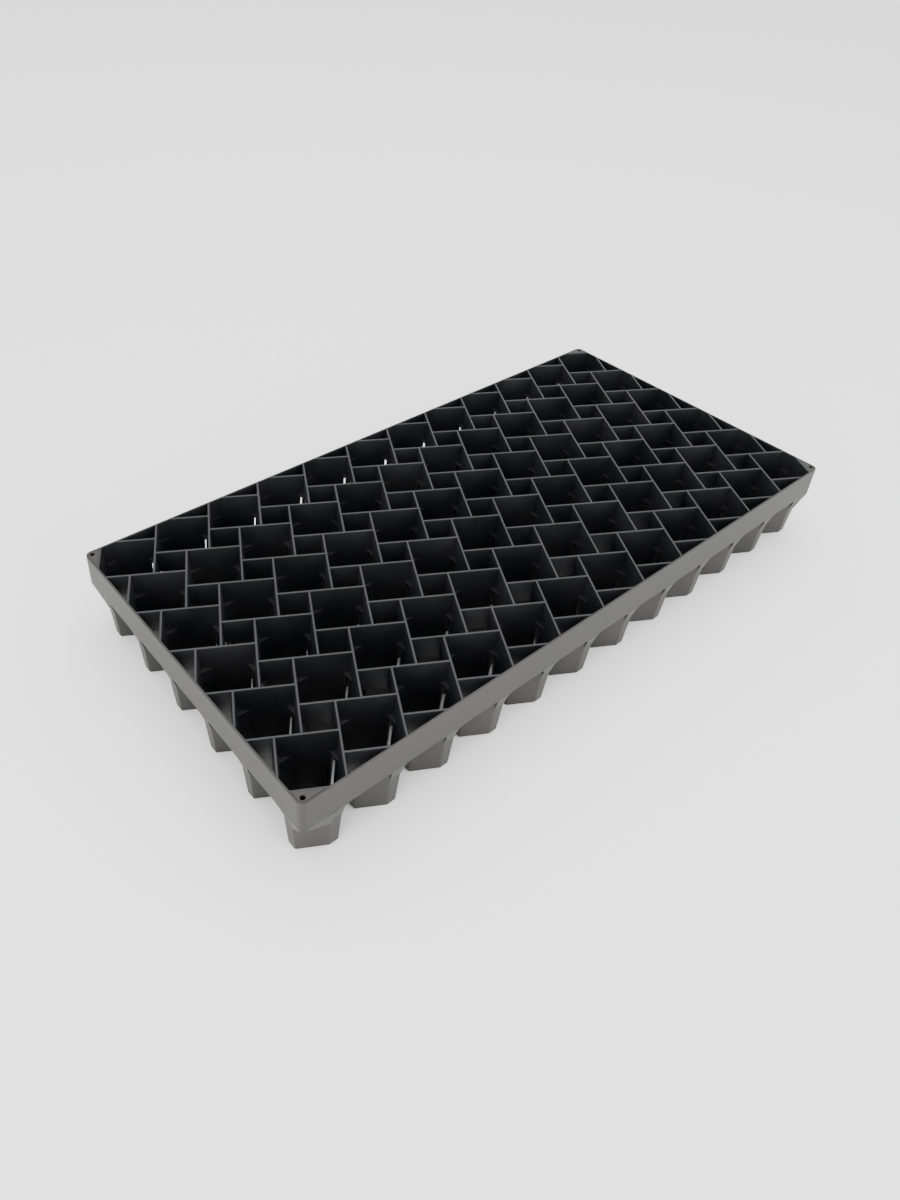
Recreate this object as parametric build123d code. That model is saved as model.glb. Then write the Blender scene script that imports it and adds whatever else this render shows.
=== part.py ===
"""Plug tray: a one-piece moulded nursery tray of 12 x 6 tapered cells, turned 30 degrees in a square lattice.

Seen from above, the cell mouths and the smaller square air openings between them tile the tray, so every
rib of the top grid is a straight bar that ends on the side of another. The tray is built as its natural
regions: skirt, corner gussets, top grid, cell walls and cell floors. They meet face to face.

Millimetres, +Z up. The origin is at the bottom centre, on the surface that the cell feet stand on.
"""

import math
import os

from build123d import *

# Overall layout
pitch = 45.0  # from one cell centre to the next, both ways
columns = 12  # cells along X
rows = 6  # cells along Y
tilt = math.radians(30.0)  # the cells are turned this far clockwise in the lattice
tray_height = 63.5  # from the foot faces to the top of the rim

# Skirt
skirt_wall = 1.5
skirt_depth = 25.0
skirt_radius = 5.0  # outside radius of the tray's four upright corners

# Top grid
rib_width = 1.5  # at the top edge
rib_depth = 17.0
shortest_rib = 2.0  # rib ends shorter than this are left out

# Cells
cell_wall = 1.0  # measured level
floor_thickness = 1.6
foot_width = 30.0  # across the flats of the turned square, outside, at the foot face
foot_reach = 17.6  # from the cell's centre out to its cut corners, at the foot face
slot_width = 3.2  # air slot down the cut corner that faces +X
ledge_thickness = 1.0  # roof of each cut corner, under the ribs
drain_width = 12.0  # square drain opening in each floor

# Corner gussets
gusset_thickness = 1.5
gusset_hole_radius = 1.75
gusset_hole_inset = 4.5  # from both outer faces of the skirt

# Worked out from the sizes above
tray_length = columns * pitch
tray_width = rows * pitch
grid_bottom = tray_height - rib_depth
skirt_bottom = tray_height - skirt_depth
inner_length = tray_length - 2 * skirt_wall
inner_width = tray_width - 2 * skirt_wall
rib_line = pitch * math.cos(tilt) / 2  # from a cell's centre to the centre lines of its ribs
mouth_half = rib_line - rib_width / 2
draft = (mouth_half + cell_wall - foot_width / 2) / tray_height  # how far walls lean in, per mm of depth
top_reach = pitch / 2 - skirt_wall  # the cut corners start level with the inside of the skirt
reach_draft = (top_reach - foot_reach) / grid_bottom

along = Vector(math.cos(tilt), -math.sin(tilt))
across = Vector(math.sin(tilt), math.cos(tilt))
corner_names = ["front_left", "back_left", "back_right", "front_right"]


def cell_centre(column, row):
    """Centre of a cell, counted from 0 at the front left corner of the tray."""
    return Vector((column + 0.5) * pitch - tray_length / 2, (row + 0.5) * pitch - tray_width / 2)


def turned(points, quarter_turns):
    """Points turned about the cell's centre, anticlockwise from above."""
    return [point.rotate(Axis.Z, 90 * quarter_turns) for point in points]


def between(outline_at, low, high):
    """Straight-sided solid between an outline's places at two heights."""
    wires = [Wire.make_polygon([Vector(p.X, p.Y, z) for p in outline_at(z)]) for z in (low, high)]
    return Solid.make_loft(wires, ruled=True)


# --- Cells, about their own centre


def cell_half(z):
    """Half the outside width of the turned square at height z."""
    return mouth_half + cell_wall - draft * (tray_height - z)


def cut_reach(z):
    """From the cell's centre to the outside of a cut corner at height z."""
    return foot_reach + reach_draft * z


def cut_ends(z, inset):
    """Both ends of the cut across the corner that faces +X, on the outside or inset by the wall."""
    half, reach = cell_half(z) - inset, cut_reach(z) - inset
    low = (reach * math.cos(tilt) - half) / math.sin(tilt)
    high = (half - reach * math.sin(tilt)) / math.cos(tilt)
    return Vector(reach, low), Vector(reach, high)


def side_outline(z):
    """The cell wall on the along side, between two cut corners."""
    outer_start, outer_end = turned([cut_ends(z, 0)[1]], -1)[0], cut_ends(z, 0)[0]
    inner_start, inner_end = turned([cut_ends(z, cell_wall)[1]], -1)[0], cut_ends(z, cell_wall)[0]
    return [outer_start, outer_end, inner_end, inner_start]


def slot_edge(z, side, inset):
    """A point on the edge of the air slot in the +X corner, on its low (-1) or high (+1) side."""
    low, high = cut_ends(z, 0)
    return Vector(low.X - inset, (low.Y + high.Y) / 2 + side * slot_width / 2)


def low_land_outline(z):
    """The strip of wall below the slot in the +X corner."""
    outer, inner = cut_ends(z, 0)[0], cut_ends(z, cell_wall)[0]
    return [outer, slot_edge(z, -1, 0), slot_edge(z, -1, cell_wall), inner]


def high_land_outline(z):
    """The strip of wall above the slot in the +X corner."""
    outer, inner = cut_ends(z, 0)[1], cut_ends(z, cell_wall)[1]
    return [slot_edge(z, 1, 0), outer, inner, slot_edge(z, 1, cell_wall)]


def cut_outline(z):
    """The whole strip of wall across the +X corner, where there is no slot."""
    (outer_low, outer_high), (inner_low, inner_high) = cut_ends(z, 0), cut_ends(z, cell_wall)
    return [outer_low, outer_high, inner_high, inner_low]


def ledge_outline(z):
    """The roof that closes the +X corner from the cut out to the square's own corner."""
    low, high = cut_ends(z, 0)
    return [low, (along + across) * cell_half(z), high]


def floor_outline(z):
    """A quarter of the floor, on the along side, from the drain opening out to the foot's edge."""
    start, end = turned([cut_ends(z, 0)[1]], -1)[0], cut_ends(z, 0)[0]
    diagonal = along + across
    far = diagonal * (cut_reach(z) / diagonal.X)
    drain = diagonal * (drain_width / 2)
    return turned([drain, far], -1) + [start, end, far, drain]


side_wall = between(side_outline, floor_thickness, grid_bottom)
low_land = between(low_land_outline, floor_thickness, grid_bottom)
high_land = between(high_land_outline, floor_thickness, grid_bottom)
plain_cut = between(cut_outline, floor_thickness, grid_bottom)
ledge = between(ledge_outline, grid_bottom - ledge_thickness, grid_bottom)
floor_quarter = between(floor_outline, 0, floor_thickness)


def meets_skirt(column, row, quarter):
    """Whether the cut corner that faces +X, +Y, -X or -Y (quarter 0 to 3) stands against the skirt."""
    return [column == columns - 1, row == rows - 1, column == 0, row == 0][quarter]


def build_cell_walls(column, row):
    """The four sides and four cut corners of one cell. Corners that face another cell have a roof."""
    pieces = []
    for quarter in range(4):
        inside = not meets_skirt(column, row, quarter)
        corner = [low_land, high_land] if quarter == 0 and inside else [plain_cut]
        pieces += [Rot(0, 0, 90 * quarter) * piece for piece in [side_wall, *corner]]
        if inside:
            pieces.append(Rot(0, 0, 90 * quarter) * ledge)
    return [Pos(*cell_centre(column, row)) * piece for piece in pieces]


def build_cell_floor(column, row):
    """The four quarters of one cell's floor, around its drain opening."""
    return [Pos(*cell_centre(column, row)) * Rot(0, 0, 90 * quarter) * floor_quarter
            for quarter in range(4)]


# --- Top grid


def rib_outline(z):
    """A rib that runs along +X from the middle of one crossing rib to the middle of the next."""
    half = rib_width / 2 + draft * (tray_height - z)
    length = pitch * (math.cos(tilt) + math.sin(tilt)) - 2 * half
    return [Vector(x, y) for x, y in ((-length / 2, -half), (length / 2, -half), (length / 2, half),
                                      (-length / 2, half))]


rib = between(rib_outline, grid_bottom, tray_height)
grid_space = Pos(0, 0, grid_bottom) * Box(inner_length, inner_width, rib_depth,
                                          align=(Align.CENTER, Align.CENTER, Align.MIN))


def in_gusset(point):
    """Whether a point of the grid lies in a corner that a gusset covers."""
    x, y = tray_length / 2 - abs(point.X), tray_width / 2 - abs(point.Y)
    if point.X * point.Y < 0:
        x, y = y, x
    return x * math.sin(tilt) + y * math.cos(tilt) < pitch / 2 * math.sin(tilt) - rib_width


def build_rib(column, row, quarter_turns):
    """The rib on a cell's across side (0 quarter turns) or along side (-1), cut off at the skirt."""
    middle = across * rib_line - along * (pitch * math.sin(tilt) / 2)
    centre = cell_centre(column, row) + turned([middle], quarter_turns)[0]
    placed = Pos(*centre) * Rot(0, 0, 90 * quarter_turns - math.degrees(tilt)) * rib
    reach = pitch
    if abs(centre.X) + reach < inner_length / 2 and abs(centre.Y) + reach < inner_width / 2:
        return [placed]
    kept = placed & grid_space
    return [piece for piece in (kept.solids() if kept else [])
            if piece.volume > shortest_rib * rib_width * rib_depth and not in_gusset(piece.center())]


def build_ribs_along(row):
    """Every rib above the cells of one row, nearly parallel to X."""
    return [piece for column in range(-1, columns + 1) for piece in build_rib(column, row, 0)]


def build_ribs_across(column):
    """Every rib to the right of the cells of one column, nearly parallel to Y."""
    return [piece for row in range(-1, rows + 1) for piece in build_rib(column, row, -1)]


# --- Skirt and corner gussets


def build_skirt_side(quarter):
    """One straight side of the skirt: front, left, back or right (0 to 3, clockwise from above)."""
    length, offset = [(tray_length, tray_width), (tray_width, tray_length)][quarter % 2]
    side = Box(length - 2 * skirt_radius, skirt_wall, skirt_depth,
               align=(Align.CENTER, Align.MIN, Align.MIN))
    return Rot(0, 0, -90 * quarter) * Pos(0, -offset / 2, skirt_bottom) * side


def corner_place(quarter):
    """Places a piece made for the front left corner, at the origin, in one of the four corners."""
    x, y = [(-1, -1), (-1, 1), (1, 1), (1, -1)][quarter]
    return Pos(x * tray_length / 2, y * tray_width / 2) * Rot(0, 0, -90 * quarter)


def build_skirt_corner(quarter):
    """The rounded upright corner of the skirt between two of its sides."""
    ring = Circle(skirt_radius) - Circle(skirt_radius - skirt_wall)
    square = Rectangle(skirt_radius, skirt_radius, align=(Align.MAX, Align.MAX))
    corner = extrude(ring & square, skirt_depth)
    return corner_place(quarter) * Pos(skirt_radius, skirt_radius, skirt_bottom) * corner


def build_gusset(quarter, rib_across_corner):
    """The triangular plate with a fixing hole that fills one corner of the grid."""
    triangle = Polygon((0, 0), (pitch / 2, 0), (0, pitch / 2 * math.tan(tilt)), align=None)
    hole = Pos(gusset_hole_inset, gusset_hole_inset) * Circle(gusset_hole_radius)
    outline = corner_place(quarter) * (triangle - hole)
    outline &= RectangleRounded(inner_length, inner_width, skirt_radius - skirt_wall)
    plate = Pos(0, 0, tray_height - gusset_thickness) * extrude(outline, gusset_thickness)
    return plate - rib_across_corner


# --- The whole tray, one group of solids for each node

nodes = {}
for quarter, side in enumerate(["front", "left", "back", "right"]):
    nodes[f"skirt_{side}"] = [build_skirt_side(quarter)]
for quarter, corner in enumerate(corner_names):
    nodes[f"skirt_corner_{corner}"] = [build_skirt_corner(quarter)]
for row in range(-1, rows):
    nodes[f"ribs_along_{row + 2:02}"] = build_ribs_along(row)
for column in range(-1, columns):
    nodes[f"ribs_across_{column + 2:02}"] = build_ribs_across(column)

# The rib that bounds each gusset belongs to the corner cell's across or along side
corner_ribs = [build_rib(0, -1, 0), build_rib(-1, rows - 1, -1),
               build_rib(columns - 1, rows - 1, 0), build_rib(columns - 1, 0, -1)]
for quarter, corner in enumerate(corner_names):
    nodes[f"gusset_{corner}"] = [build_gusset(quarter, corner_ribs[quarter][0])]

for column in range(columns):
    nodes[f"cell_walls_{column + 1:02}"] = [p for row in range(rows) for p in build_cell_walls(column, row)]
    nodes[f"cell_floors_{column + 1:02}"] = [p for row in range(rows) for p in build_cell_floor(column, row)]

os.makedirs("parts", exist_ok=True)
for name, pieces in nodes.items():
    export_step(Compound(children=[solid for piece in pieces for solid in piece.solids()]),
                f"parts/{name}.step")
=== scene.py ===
import math

import bmesh
import bpy
from mathutils import Matrix, Vector


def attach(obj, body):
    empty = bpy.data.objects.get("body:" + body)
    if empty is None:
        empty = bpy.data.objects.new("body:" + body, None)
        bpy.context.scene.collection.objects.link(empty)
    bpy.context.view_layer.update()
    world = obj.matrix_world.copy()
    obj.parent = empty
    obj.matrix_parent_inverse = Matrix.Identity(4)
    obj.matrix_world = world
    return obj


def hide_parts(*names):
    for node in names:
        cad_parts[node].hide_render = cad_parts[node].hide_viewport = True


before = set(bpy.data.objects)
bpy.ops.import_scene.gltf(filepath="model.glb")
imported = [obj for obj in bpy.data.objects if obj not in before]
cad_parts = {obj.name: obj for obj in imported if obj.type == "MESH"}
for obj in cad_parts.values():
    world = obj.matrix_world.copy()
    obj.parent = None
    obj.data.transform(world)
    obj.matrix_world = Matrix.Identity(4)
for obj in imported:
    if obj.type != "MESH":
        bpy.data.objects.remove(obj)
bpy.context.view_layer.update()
print("frame loaded")

# sizes in metres, the same ones the CAD model is drawn from
tray = {
    "pitch": 0.045,
    "columns": 12,
    "rows": 6,
    "tilt": math.radians(30),
    "height": 0.0635,
    "gridBottom": 0.0465,
    "skirtBottom": 0.0385,
    "skirtWall": 0.0015,
    "ribTop": 0.0015,
}
halfLength = tray["columns"] * tray["pitch"] / 2
halfWidth = tray["rows"] * tray["pitch"] / 2
lastColumn = tray["columns"] - 1
lastRow = tray["rows"] - 1
ribLine = tray["pitch"] * math.cos(tray["tilt"]) / 2   # cell centre to the middle of its ribs
mouthHalf = ribLine - tray["ribTop"] / 2
along = Vector((math.cos(tray["tilt"]), -math.sin(tray["tilt"]), 0))
across = Vector((math.sin(tray["tilt"]), math.cos(tray["tilt"]), 0))


def cellCentre(column, row):
    return Vector(((column + 0.5) * tray["pitch"] - halfLength, (row + 0.5) * tray["pitch"] - halfWidth, 0))


def quarterTurn(count):
    return Matrix.Rotation(math.radians(90 * count), 4, "Z")


def cellPlace(column, row, quarter=0):
    return Matrix.Translation(cellCentre(column, row)) @ quarterTurn(quarter)


# materials

def srgb(hexColor):
    channels = [int(hexColor[i:i + 2], 16) / 255 for i in (1, 3, 5)]
    linear = [c / 12.92 if c <= 0.04045 else ((c + 0.055) / 1.055) ** 2.4 for c in channels]
    return (*linear, 1)


def addNode(tree, kind, settings=None, links=None):
    node = tree.nodes.new(kind)
    for name, value in (settings or {}).items():
        if hasattr(node, name):
            setattr(node, name, value)
        else:
            node.inputs[name].default_value = value
    for name, source in (links or {}).items():
        tree.links.new(source, node.inputs[name])
    return node


plastic = {
    "body": "#0c0d12",        # black polypropylene with a slightly cool cast
    "worn": "#1b1b1d",        # handled faces go a little warmer and lighter
    "roughness": 0.42,        # low satin sheen
    "litOuterBody": "#171614",  # skirt and feet outside: painted lighter and warmer than the inside, as painted light for the lamps falling on them
    "litOuterWorn": "#262522",
    "outerRoughness": 0.5,
    "smoother": 0.06,         # how far the roughness drifts down and up from patch to patch
    "duller": 0.1,
    "grain": 420,             # cells per metre, coarser than the real 0.3 mm spark grain so that it shows
    "grainDepth": 0.00006,
    "flow": 22,               # broad flow marks from the gates, about 45 mm apart
}


def makePlastic(name, body, worn, roughness):
    material = bpy.data.materials.new(name)
    material.use_nodes = True
    tree = material.node_tree
    tree.nodes.clear()
    place = addNode(tree, "ShaderNodeTexCoord")
    # broad patches where the surface has been handled and washed
    flow = addNode(tree, "ShaderNodeTexNoise", {"Scale": plastic["flow"], "Detail": 4.0, "Roughness": 0.55},
                   {"Vector": place.outputs["Object"]})
    patches = addNode(tree, "ShaderNodeMapRange", {"From Min": 0.38, "From Max": 0.68},
                      {"Value": flow.outputs["Fac"]})
    tone = addNode(tree, "ShaderNodeMix", {"data_type": "RGBA"}, {"Factor": patches.outputs["Result"]})
    tone.inputs["A"].default_value = srgb(body)
    tone.inputs["B"].default_value = srgb(worn)
    # fine spark grain of the mould
    grain = addNode(tree, "ShaderNodeTexNoise", {"Scale": plastic["grain"], "Detail": 3.0, "Roughness": 0.6},
                    {"Vector": place.outputs["Object"]})
    relief = addNode(tree, "ShaderNodeBump", {"Strength": 0.5, "Distance": plastic["grainDepth"]},
                     {"Height": grain.outputs["Fac"]})
    sheen = addNode(tree, "ShaderNodeMapRange",
                    {"To Min": roughness - plastic["smoother"], "To Max": roughness + plastic["duller"]},
                    {"Value": flow.outputs["Fac"]})
    shader = addNode(tree, "ShaderNodeBsdfPrincipled", {"IOR": 1.49, "Metallic": 0.0},
                     {"Base Color": tone.outputs["Result"], "Roughness": sheen.outputs["Result"],
                      "Normal": relief.outputs["Normal"]})
    addNode(tree, "ShaderNodeOutputMaterial", links={"Surface": shader.outputs["BSDF"]})
    return material


# black moulded polypropylene: reads near black inside the cells and dull grey where light grazes it
blackPlastic = makePlastic("moulded black polypropylene", plastic["body"], plastic["worn"],
                           plastic["roughness"])
# same plastic for the outer faces: a warmer, greyer tone painted in for the light falling on them, with a
# duller face
litOuterPlastic = makePlastic("black polypropylene painted lighter for light", plastic["litOuterBody"], plastic["litOuterWorn"],
                            plastic["outerRoughness"])

print("materials ready")

# building blocks

tiny = 0.00001   # points closer than this count as one
plusX = Vector((1, 0, 0))
plusY = Vector((0, 1, 0))
upward = Vector((0, 0, 1))
downward = -upward


def addPiece(name, form, replaced, material=blackPlastic):
    bmesh.ops.remove_doubles(form, verts=form.verts, dist=tiny)
    bmesh.ops.recalc_face_normals(form, faces=form.faces)
    mesh = bpy.data.meshes.new(name)
    form.to_mesh(mesh)
    form.free()
    mesh.materials.append(material)
    piece = bpy.data.objects.new(name, mesh)
    bpy.context.scene.collection.objects.link(piece)
    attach(piece, "root")
    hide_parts(*replaced)
    return piece


# gives a shell its wall: the outside in the copy painted lighter for the light on it, the inside in the
# darker black as painted shade
def addWall(piece, thickness):
    piece.data.materials.append(blackPlastic)
    wall = piece.modifiers.new("wall", "SOLIDIFY")
    wall.thickness = thickness
    wall.offset = -1
    wall.material_offset = 1


# a block between two corners
def addBlock(low, high):
    block = bmesh.new()
    bmesh.ops.create_cube(block, size=1)
    for vert in block.verts:
        vert.co = [b if c > 0 else a for a, b, c in zip(low, high, vert.co)]
    return block


# a block about the Z axis, with its own half length and half width at the bottom and at the top
def addTaper(bottom, top, bottomHalves, topHalves):
    block = bmesh.new()
    bmesh.ops.create_cube(block, size=1)
    for vert in block.verts:
        height, halves = (top, topHalves) if vert.co.z > 0 else (bottom, bottomHalves)
        vert.co = (math.copysign(halves[0], vert.co.x), math.copysign(halves[1], vert.co.y), height)
    return block


# faces whose normal has at least this share along a direction
def facesAlong(form, direction, share=0.9):
    return [face for face in form.faces if face.normal.dot(direction) > share]


def roundEdges(form, edges, radius, segments, profile=0.5):
    bmesh.ops.bevel(form, geom=edges, offset=radius, offset_type="OFFSET", segments=segments, profile=profile,
                    affect="EDGES", material=-1)


# trims everything on the normal's side and closes the cut
def cutAway(form, point, normal):
    whole = form.verts[:] + form.edges[:] + form.faces[:]
    made = bmesh.ops.bisect_plane(form, geom=whole, plane_co=point, plane_no=normal, clear_outer=True)
    rim = [edge for edge in made["geom_cut"] if isinstance(edge, bmesh.types.BMEdge)]
    if rim:
        bmesh.ops.holes_fill(form, edges=rim, sides=0)


# divides one face along a plane
def scoreFace(form, face, point, normal):
    near = [face] + face.verts[:] + face.edges[:]
    bmesh.ops.bisect_plane(form, geom=near, plane_co=point, plane_no=normal)


# adds a moved copy of one form to another
def copyInto(target, source, place):
    scratch = bpy.data.meshes.new("scratch")
    source.to_mesh(scratch)
    scratch.transform(place)
    target.from_mesh(scratch)
    bpy.data.meshes.remove(scratch)


# cells: drafted square cups with cut corners, air slot and drain

cell = {
    "footHalf": 0.015,
    "reachFoot": 0.0176,      # centre to a cut corner at the foot
    "reachTop": 0.021,
    "slot": 0.0032,
    "drainHalf": 0.006,
    "wall": 0.001,
    "round": 0.0007,          # soft moulded edges
    "flat": 0.99,             # share that tells the foot's flat from its rounded rim
}
draft = (mouthHalf + cell["wall"] - cell["footHalf"]) / tray["height"]   # every wall leans by the same amount
# outwards from the cut corner that faces +X
cutNormal = Vector((tray["gridBottom"], 0, cell["reachFoot"] - cell["reachTop"]))


def reachAt(z):
    return cell["reachFoot"] + (cell["reachTop"] - cell["reachFoot"]) * z / tray["gridBottom"]


def halfAt(z):
    return cell["footHalf"] + draft * z


# both ends of the cut across the +X corner, along Y
def cutEnds(z):
    low = (reachAt(z) * math.cos(tray["tilt"]) - halfAt(z)) / math.sin(tray["tilt"])
    high = (halfAt(z) - reachAt(z) * math.sin(tray["tilt"])) / math.cos(tray["tilt"])
    return low, high


# a square block with the tilt and draft of the cells' outer faces
def addSquare(bottom, top):
    form = addTaper(bottom, top, (halfAt(bottom), halfAt(bottom)), (halfAt(top), halfAt(top)))
    bmesh.ops.rotate(form, verts=form.verts, matrix=Matrix.Rotation(-tray["tilt"], 3, "Z"))
    return form


# scores the foot on four lines and drops the middle
def cutDrain(form):
    for quarter in range(4):
        side = quarterTurn(quarter) @ along
        for face in facesAlong(form, downward, cell["flat"]):
            scoreFace(form, face, side * cell["drainHalf"], side)
    middle = [face for face in facesAlong(form, downward, cell["flat"])
              if face.calc_center_median().to_2d().length < cell["drainHalf"]]
    bmesh.ops.delete(form, geom=middle, context="FACES")


# scores the cut strip that faces +X on two upright lines and drops the face between them
def cutSlot(form):
    middleY = sum(cutEnds(tray["gridBottom"] / 2)) / 2   # the strip's middle at half its height
    for edge in (-1, 1):
        for face in facesAlong(form, plusX):
            scoreFace(form, face, plusY * (middleY + edge * cell["slot"] / 2), plusY)
    gap = [face for face in facesAlong(form, plusX)
           if abs(face.calc_center_median().y - middleY) < cell["slot"] / 2
           and face.calc_center_median().z > cell["round"]]
    bmesh.ops.delete(form, geom=gap, context="FACES")


def buildCell(slotted):
    form = addSquare(0, tray["gridBottom"])
    for quarter in range(4):
        turn = quarterTurn(quarter)
        cutAway(form, turn @ Vector((cell["reachFoot"], 0, 0)), turn @ cutNormal)
    bmesh.ops.recalc_face_normals(form, faces=form.faces)
    # the foot and upright edges are rounded, the top edge stays crisp where it meets the ribs
    soft = [edge for edge in form.edges if min(vert.co.z for vert in edge.verts) < tiny]
    roundEdges(form, soft, cell["round"], 2)
    bmesh.ops.delete(form, geom=facesAlong(form, upward), context="FACES_ONLY")
    cutDrain(form)
    if slotted:
        cutSlot(form)
    return form


# the last column's +X corners face the skirt and have no slot
openCell, closedCell = buildCell(True), buildCell(False)
for column in range(tray["columns"]):
    cups = bmesh.new()
    for row in range(tray["rows"]):
        copyInto(cups, closedCell if column == lastColumn else openCell, cellPlace(column, row))
    number = f"{column + 1:02}"
    # outer faces in the copy painted lighter for light, insides in the darker black as painted shade
    piece = addPiece(f"cups_{number}", cups, [f"cell_walls_{number}", f"cell_floors_{number}"], litOuterPlastic)
    addWall(piece, cell["wall"])
openCell.free()
closedCell.free()


# quarters count round from the corner that faces +X
def facesSkirt(column, row, quarter):
    return [column == lastColumn, row == lastRow, column == 0, row == 0][quarter]


# copies a form to the cut corners that face the skirt, or to all the other ones
def copyToCorners(target, form, atSkirt):
    for column in range(tray["columns"]):
        for row in range(tray["rows"]):
            for quarter in range(4):
                if facesSkirt(column, row, quarter) == atSkirt:
                    copyInto(target, form, cellPlace(column, row, quarter))


# roofs that close the inner cut corners under the ribs
roof = {"thickness": 0.001}

corner = addSquare(tray["gridBottom"] - roof["thickness"], tray["gridBottom"])
cutAway(corner, Vector((cell["reachFoot"] - cell["wall"], 0, 0)), -cutNormal)
roofs = bmesh.new()
copyToCorners(roofs, corner, False)
corner.free()
addPiece("corner_roofs", roofs, [])
print("cells ready")

# ribs: tapered bars with a softened top, each run into the side of the next

rib = {
    "round": 0.0004,
    "bite": 0.0002,           # ends run this far into the crossing rib or the skirt
    "shortest": 0.006,        # stubs no longer than this are left out
}
innerX = halfLength - tray["skirtWall"] + rib["bite"]
innerY = halfWidth - tray["skirtWall"] + rib["bite"]


def buildRib():
    topHalf = tray["ribTop"] / 2
    footHalf = topHalf + draft * (tray["height"] - tray["gridBottom"])
    reach = tray["pitch"] * (math.cos(tray["tilt"]) + math.sin(tray["tilt"])) / 2 + rib["bite"]
    form = addTaper(tray["gridBottom"], tray["height"],
                    (reach - footHalf, footHalf), (reach - topHalf, topHalf))
    crest = [edge for edge in form.edges if all(vert.co.z > tray["height"] - tiny for vert in edge.verts)
             and abs(edge.verts[0].co.y - edge.verts[1].co.y) < tiny]
    roundEdges(form, crest, rib["round"], 3)
    return form


# the corner gussets fill these places, so no rib runs there
def underGusset(point):
    x = halfLength - abs(point.x)
    y = halfWidth - abs(point.y)
    if point.x * point.y < 0:
        x, y = y, x
    edge = tray["pitch"] / 2 * math.sin(tray["tilt"]) - tray["ribTop"]
    return x * math.sin(tray["tilt"]) + y * math.cos(tray["tilt"]) < edge


# puts one rib beside a cell and trims it to the skirt
def placeRib(target, column, row, quarter):
    offset = across * ribLine - along * (tray["pitch"] * math.sin(tray["tilt"]) / 2)
    centre = cellCentre(column, row) + quarterTurn(quarter) @ offset
    angle = math.radians(90 * quarter) - tray["tilt"]
    bar = bmesh.new()
    copyInto(bar, plainRib, Matrix.Translation(centre) @ Matrix.Rotation(angle, 4, "Z"))
    for limit, normal in ((innerX, plusX), (innerY, plusY)):
        for sign in (-1, 1):
            if bar.faces:
                cutAway(bar, normal * sign * limit, normal * sign)
    if bar.verts:
        middle = sum((vert.co for vert in bar.verts), Vector()) / len(bar.verts)
        span = max((a.co - b.co).to_2d().length for a in bar.verts for b in bar.verts)
        if span > rib["shortest"] and not underGusset(middle):
            copyInto(target, bar, Matrix.Identity(4))
    bar.free()


plainRib = buildRib()
for row in range(-1, tray["rows"]):
    bars = bmesh.new()
    for column in range(-1, tray["columns"] + 1):
        placeRib(bars, column, row, 0)
    addPiece(f"grid_along_{row + 2:02}", bars, [f"ribs_along_{row + 2:02}"])
for column in range(-1, tray["columns"]):
    bars = bmesh.new()
    for row in range(-1, tray["rows"] + 1):
        placeRib(bars, column, row, -1)
    addPiece(f"grid_across_{column + 2:02}", bars, [f"ribs_across_{column + 2:02}"])
plainRib.free()
print("ribs ready")

# skirt: one band with rounded upright corners and softened edges

skirt = {
    "radius": 0.005,
    "round": 0.0005,
    "softAngle": math.radians(50),   # sharper edges than this are softened
}
skirtReach = tray["pitch"] / 2   # centre of an outer cell to the skirt's face
skirtNodes = [f"skirt_{side}" for side in ("front", "left", "back", "right")]
skirtNodes += [f"skirt_corner_{place}" for place in ("front_left", "back_left", "back_right", "front_right")]

band = addTaper(tray["skirtBottom"], tray["height"], (halfLength, halfWidth), (halfLength, halfWidth))
bmesh.ops.delete(band, geom=facesAlong(band, upward) + facesAlong(band, downward), context="FACES_ONLY")
uprights = [edge for edge in band.edges if abs(edge.verts[0].co.z - edge.verts[1].co.z) > tiny]
roundEdges(band, uprights, skirt["radius"], 10)
bmesh.ops.recalc_face_normals(band, faces=band.faces)
# skirt outside in the copy painted lighter for the light on it, inside in the darker black
skirtPiece = addPiece("skirt", band, skirtNodes, litOuterPlastic)
addWall(skirtPiece, tray["skirtWall"])
edges = skirtPiece.modifiers.new("softEdges", "BEVEL")
edges.width = skirt["round"]
edges.segments = 3
edges.limit_method = "ANGLE"
edges.angle_limit = skirt["softAngle"]

# aprons: where an outer foot meets the skirt, the wall runs down into the cut corner, with a hollow
# at each side

apron = {
    "drop": 0.012,            # how far the blend reaches below the skirt
    "hollow": 0.004,          # radius of the hollow between skirt edge and foot
    "hollowShare": 0.98,      # share of the web that the hollow takes away
    "hollowProfile": 0.1,     # under 0.25, so the edge is hollowed and not rounded
    "webInset": 0.001,        # webs reach this far behind the skirt's wall
    "webOverlap": 0.0002,     # and this far up into it
    "overlap": 0.0005,        # blocks run this far up into the skirt and back into the foot's wall
    "frontSink": 0.0003,      # the front ends this far inside the cut corner
    "cornerFoot": 0.024,      # height at which the corner wedge has died into its foot
    "cornerInset": 0.0012,    # the wedge's face starts this far inside the skirt's square corner
    "cornerSink": 0.0002,     # its sides end this far inside the cut corners
    "wedgeBottom": 0.002,     # the wedge's block before its faces are cut
    "wedgeEnd": 0.004,
}
blockTop = tray["skirtBottom"] + apron["overlap"]
blockBottom = tray["skirtBottom"] - apron["drop"]


# the corner of the web farthest from the skirt and the foot is bevelled into a hollow
def buildWeb(start, side):
    outerY = start + side * apron["hollow"]
    near, far = sorted((start, outerY))
    back = skirtReach - tray["skirtWall"] - apron["webInset"]
    web = addBlock((back, near, tray["skirtBottom"] - apron["hollow"]),
                   (skirtReach, far, tray["skirtBottom"] + apron["webOverlap"]))
    lowOuter = [edge for edge in web.edges if all(
        vert.co.z < tray["skirtBottom"] and abs(vert.co.y - outerY) < tiny for vert in edge.verts)]
    roundEdges(web, lowOuter, apron["hollow"] * apron["hollowShare"], 6, apron["hollowProfile"])
    return web


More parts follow.
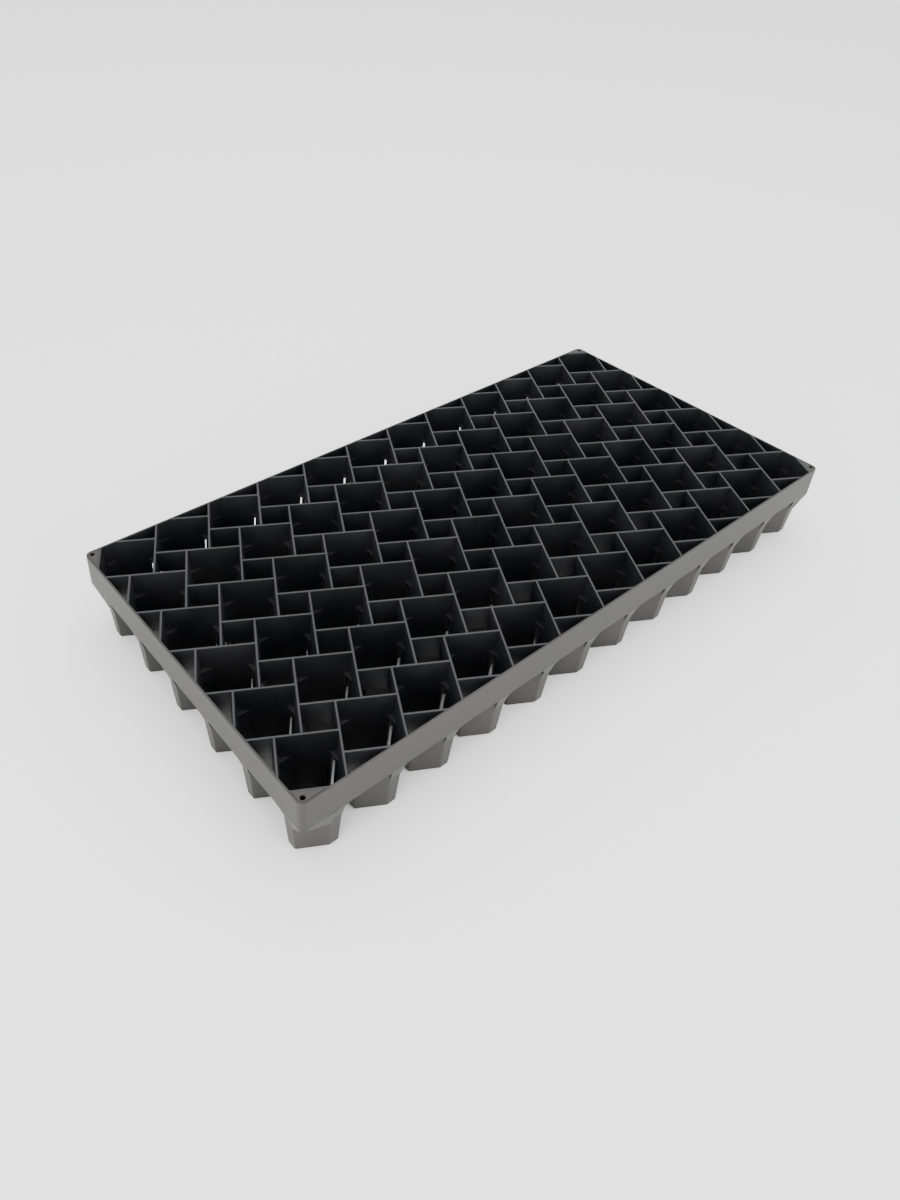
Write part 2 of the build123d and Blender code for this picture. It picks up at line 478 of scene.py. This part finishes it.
# a block with a web at each side, for the cut corner that faces +X
def buildBlend():
    stripLow, stripHigh = cutEnds(tray["skirtBottom"])
    parts = [addBlock((cell["reachFoot"], stripLow, blockBottom), (skirtReach, stripHigh, blockTop)),
             buildWeb(stripLow, -1), buildWeb(stripHigh, 1)]
    form = bmesh.new()
    for part in parts:
        copyInto(form, part, Matrix.Identity(4))
        part.free()
    # front leans back from the skirt face to the cut corner, back stops inside the foot's wall
    leanBack = skirtReach - reachAt(blockBottom) + apron["frontSink"]
    cutAway(form, Vector((skirtReach, 0, tray["skirtBottom"])), Vector((apron["drop"], 0, -leanBack)))
    cutAway(form, Vector((cell["reachFoot"] - apron["overlap"], 0, 0)), -cutNormal)
    return form


# wedge under the skirt's front left corner, leaning back to the side of the corner foot
def buildWedge():
    form = addBlock((-skirtReach, -skirtReach, apron["wedgeBottom"]), (apron["wedgeEnd"], 0, blockTop))
    upright = [edge for edge in form.edges if all(
        max(vert.co.x, vert.co.y) < tiny - skirtReach for vert in edge.verts)]
    roundEdges(form, upright, skirt["radius"], 8)
    fall = tray["skirtBottom"] - apron["cornerFoot"]
    outward = -across
    cornerReach = Vector((-skirtReach, -skirtReach, 0)).dot(outward) - apron["cornerInset"]
    slope = (cornerReach - halfAt(apron["cornerFoot"])) / fall
    cutAway(form, outward * cornerReach + upward * tray["skirtBottom"], outward - upward * slope)
    cutAway(form, outward * (cell["footHalf"] - apron["overlap"]), upward * draft - outward)
    # its two sides lean back to the cut corners over the same height
    sideLean = (skirtReach - reachAt(apron["cornerFoot"]) + apron["cornerSink"]) / fall
    for side in (plusX, plusY):
        cutAway(form, upward * tray["skirtBottom"] - side * skirtReach, -side - upward * sideLean)
    return form


blend, wedge = buildBlend(), buildWedge()
aprons = bmesh.new()
copyToCorners(aprons, blend, True)
for quarter, (column, row) in enumerate(((0, 0), (lastColumn, 0), (lastColumn, lastRow), (0, lastRow))):
    copyInto(aprons, wedge, cellPlace(column, row, quarter))
blend.free()
wedge.free()
# aprons in the copy painted lighter for the light falling on them
addPiece("skirt_aprons", aprons, [], litOuterPlastic)
print("skirt ready")

# the gussets are the only CAD nodes that show
for name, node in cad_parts.items():
    for place in node.material_slots:
        # gussets in the copy painted lighter for the light on them, other nodes in the darker black
        place.material = litOuterPlastic if name.startswith("gusset") else blackPlastic

# floor, light and camera

studio = {
    "floor": "#fbfbfb",
    "floorRoughness": 0.9,
    "floorHalf": 6,
    "floorGap": 0.0005,       # the floor lies this far under the feet
    "sky": "#ffffff",
    "skyStrength": 2.0,
    "aim": (0, 0, 0.03),      # all lights point here
}

floorMaterial = bpy.data.materials.new("white paper sweep")   # bright, even, no visible horizon
floorMaterial.use_nodes = True
floorShader = floorMaterial.node_tree.nodes["Principled BSDF"]
floorShader.inputs["Base Color"].default_value = srgb(studio["floor"])
floorShader.inputs["Roughness"].default_value = studio["floorRoughness"]

floorMesh = bpy.data.meshes.new("floor")
floorForm = bmesh.new()
bmesh.ops.create_grid(floorForm, x_segments=1, y_segments=1, size=studio["floorHalf"],
                      matrix=Matrix.Translation((0, 0, -studio["floorGap"])))
floorForm.to_mesh(floorMesh)
floorForm.free()
floorMesh.materials.append(floorMaterial)
floor = bpy.data.objects.new("floor", floorMesh)
bpy.context.scene.collection.objects.link(floor)

world = bpy.data.worlds.new("studio")
world.use_nodes = True
background = world.node_tree.nodes["Background"]
background.inputs["Color"].default_value = srgb(studio["sky"])
background.inputs["Strength"].default_value = studio["skyStrength"]
bpy.context.scene.world = world


def addLight(name, size, power, place):
    light = bpy.data.lights.new(name, "AREA")
    light.shape = "SQUARE"
    light.size = size
    light.energy = power
    lamp = bpy.data.objects.new(name, light)
    lamp.location = place
    lamp.rotation_euler = (Vector(studio["aim"]) - Vector(place)).to_track_quat("-Z", "Y").to_euler()
    bpy.context.scene.collection.objects.link(lamp)


addLight("overhead", 1.6, 20, (0.1, 0.2, 1.8))
addLight("left", 1.2, 20, (-1.6, -0.4, 0.6))
addLight("front", 1.2, 18, (0.3, -1.7, 0.6))

view = {
    "lens": 27.966,
    "sensor": 36,
    "shift": (0.0449, -0.0909),
    "nearest": 0.01,
    "place": (-0.4404, -0.39396, 0.50674),
    "right": (0.766049, -0.641695, 0.037361),
    "up": (0.35753, 0.473676, 0.804862),
    "ahead": (0.534173, 0.603206, -0.592285),
}

lens = bpy.data.cameras.new("camera")
lens.lens = view["lens"]
lens.sensor_width = view["sensor"]
lens.shift_x, lens.shift_y = view["shift"]
lens.clip_start = view["nearest"]
camera = bpy.data.objects.new("camera", lens)
turn = Matrix((Vector(view["right"]), Vector(view["up"]), -Vector(view["ahead"]))).transposed()
camera.matrix_world = Matrix.Translation(view["place"]) @ turn.to_4x4()
bpy.context.scene.collection.objects.link(camera)
bpy.context.scene.camera = camera
print("studio ready")
